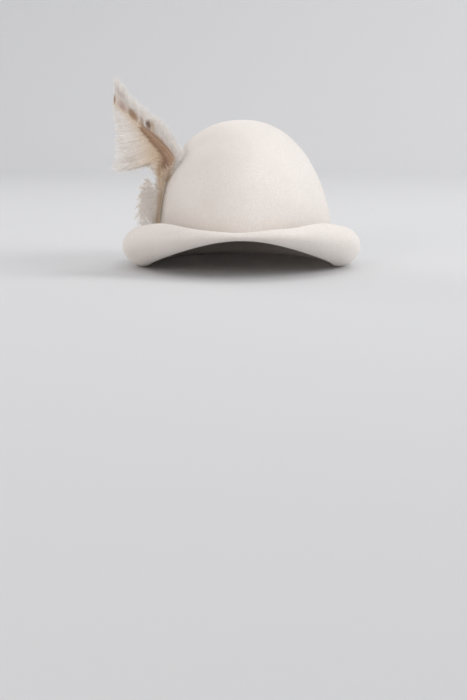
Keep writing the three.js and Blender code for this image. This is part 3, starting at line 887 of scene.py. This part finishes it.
def felt_material():
    """Brushed wool felt: fibres matted in three directions, a slightly cloudy ivory, and a soft sheen."""
    n = Nodes("felt")
    n.set(Roughness=0.92, Sheen_Weight=0.4, Sheen_Roughness=0.5, Specular_IOR_Level=0.12)
    n.set(Sheen_Tint=rgba(SHEEN_WHITE))
    place = n.add("ShaderNodeTexCoord").outputs["Object"]
    cloud = n.add("ShaderNodeTexNoise", Scale=38.0, Detail=4.0, Roughness=0.55)
    n.link(place, cloud, "Vector")
    tones = n.ramp(
        cloud.outputs["Fac"], low=0.3, low_colour=rgba(DEEP_IVORY), high=0.68, high_colour=rgba(IVORY),
    )
    matted = None
    for turn in FIBRE_TURNS:
        stretch = n.add("ShaderNodeMapping", vector_type="TEXTURE")
        stretch.inputs["Rotation"].default_value = [math.radians(angle) for angle in turn]
        stretch.inputs["Scale"].default_value = FIBRE_STRETCH
        n.link(place, stretch, "Vector")
        fibre = n.add("ShaderNodeTexNoise", Scale=1500.0, Detail=3.0, Roughness=0.65, Distortion=1.2)
        n.link(stretch.outputs["Vector"], fibre, "Vector")
        if matted is None:
            matted = fibre.outputs["Fac"]
            continue
        over = n.add("ShaderNodeMath", operation="MAXIMUM")
        n.link(matted, over, 0)
        n.link(fibre.outputs["Fac"], over, 1)
        matted = over.outputs["Value"]
    flecks = n.ramp(matted, low=0.42, low_colour=FLECK_SHADE, high=0.68, high_colour=NO_SHADE)
    n.colour_by(tones, flecks)
    bump = n.add("ShaderNodeBump", Strength=0.5, Distance=0.0004)
    n.link(matted, bump, "Height")
    n.link(bump.outputs["Normal"], n.shader, "Normal")
    return n.material


def nap_material():
    n = Nodes("felt_nap")
    n.set(Base_Color=rgba(NAP_IVORY), Roughness=0.9, Sheen_Weight=0.3, Specular_IOR_Level=0.1)
    return n.material


def feather_material(name, sheen):
    """Barbs in the colours of their points, with fine streaks of lighter and darker keratin."""
    n = Nodes(name)
    n.set(Roughness=0.62, Sheen_Weight=sheen, Sheen_Roughness=0.4, Specular_IOR_Level=0.3)
    place = n.add("ShaderNodeTexCoord").outputs["Object"]
    tint = n.add("ShaderNodeVertexColor", layer_name="Tint")
    streak = n.add("ShaderNodeTexNoise", Scale=900.0, Detail=3.0, Roughness=0.6)
    n.link(place, streak, "Vector")
    shades = n.ramp(streak.outputs["Fac"], low=0.3, low_colour=STREAK_SHADE, high=0.65, high_colour=NO_SHADE)
    n.colour_by(tint.outputs["Color"], shades)
    return n.material


def studio_material():
    n = Nodes("studio")
    n.set(Base_Color=rgba(STUDIO_GREY), Roughness=0.9, Specular_IOR_Level=0.1)
    return n.material


# Stage


def add_studio():
    """Floor and wall in one round bowl, with a bend between them."""
    bend = STUDIO["bend"]
    turns = np.linspace(0, math.pi / 2, STUDIO["bend_rows"])
    radii = STUDIO["floor_radius"] + bend * np.append(np.sin(turns), 1)
    heights = np.append(bend - bend * np.cos(turns), STUDIO["height"])
    around = np.arange(STUDIO["columns"]) * 2 * math.pi / STUDIO["columns"]
    rings = np.stack(np.broadcast_arrays(
        radii[:, None] * np.cos(around), radii[:, None] * np.sin(around), heights[:, None],
    ), axis=-1)
    here = np.arange(len(around))
    after = np.roll(here, -1)
    faces = [here.tolist()]
    for low in range(0, (len(rings) - 1) * len(around), len(around)):
        high = low + len(around)
        faces += np.stack([low + here, high + here, high + after, low + after], axis=1).tolist()
    mesh = bpy.data.meshes.new("studio_floor")
    mesh.from_pydata((rings.reshape(-1, 3) + STUDIO["centre"]).tolist(), [], faces)
    mesh.shade_smooth()
    mesh.materials.append(studio_material())
    studio = bpy.data.objects.new("studio_floor", mesh)
    bpy.context.collection.objects.link(studio)


def add_light(name, place, target, size, spread, power, colour):
    """A round lamp that shines at a target, in a cone of spread degrees."""
    lamp = bpy.data.lights.new(name, "AREA")
    lamp.shape = "DISK"
    lamp.size = size
    lamp.spread = math.radians(spread)
    lamp.energy = power
    lamp.color = colour
    holder = bpy.data.objects.new(name, lamp)
    holder.location = place
    holder.rotation_euler = (Vector(target) - Vector(place)).to_track_quat("-Z", "Y").to_euler()
    bpy.context.collection.objects.link(holder)


def add_world(strength, colour):
    world = bpy.data.worlds.new("studio_air")
    world.use_nodes = True
    air = world.node_tree.nodes["Background"]
    air.inputs["Color"].default_value = (*colour, 1.0)
    air.inputs["Strength"].default_value = strength
    bpy.context.scene.world = world


def add_camera():
    """A camera in front of the hat, just above the floor, that puts AIM_POINT at AIM_PIXEL."""
    lens = bpy.data.cameras.new("camera")
    lens.sensor_fit = "VERTICAL"
    lens.sensor_height = 24.0
    lens.lens = lens.sensor_height * FOCAL_PIXELS / PICTURE[1]
    lens.clip_end = 50
    up = math.radians(ELEVATION)
    place = AIM_POINT + DISTANCE * Vector((0, -math.cos(up), math.sin(up)))
    right_of_middle = math.atan((AIM_PIXEL[0] - PICTURE[0] / 2) / FOCAL_PIXELS)
    above_middle = math.atan((PICTURE[1] / 2 - AIM_PIXEL[1]) / FOCAL_PIXELS)
    pitch = math.pi / 2 - up - above_middle
    turn = Matrix.Rotation(right_of_middle, 4, "Z") @ Matrix.Rotation(pitch, 4, "X")
    camera = bpy.data.objects.new("camera", lens)
    camera.matrix_world = Matrix.Translation(place) @ turn
    bpy.context.collection.objects.link(camera)
    bpy.context.scene.camera = camera


# The hat

rings, tops = felt_grid()
own_low = rings.min(axis=(0, 1))
own_high = rings.max(axis=(0, 1))
felt_low, felt_high = (np.array(corner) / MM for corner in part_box("felt_body"))
SHIFT = (felt_low + felt_high - own_low - own_high) / 2 * (1, 1, 0)

felt_points = np.concatenate([rings.reshape(-1, 3), tops])
add_piece("felt", felt_points, grid_faces(len(rings)), felt_material(), "felt_body")
nap_piece(rings, nap_material())

feather_piece(
    "long_feather", LONG_FEATHER, long_colours, feather_material("cream_feather", sheen=0.3),
    "cream_feather", "feather_long",
)
feather_piece(
    "short_feather", SHORT_FEATHER, short_colours, feather_material("brown_feather", sheen=0.3),
    "brown_feather", "feather_short",
)
down_piece(feather_material("down", sheen=0.5))

# The studio

add_studio()
for light in LIGHTS:
    add_light(**light)
add_world(strength=0.72, colour=(0.98, 0.985, 1.0))
add_camera()
bpy.context.scene.view_settings.view_transform = "Standard"
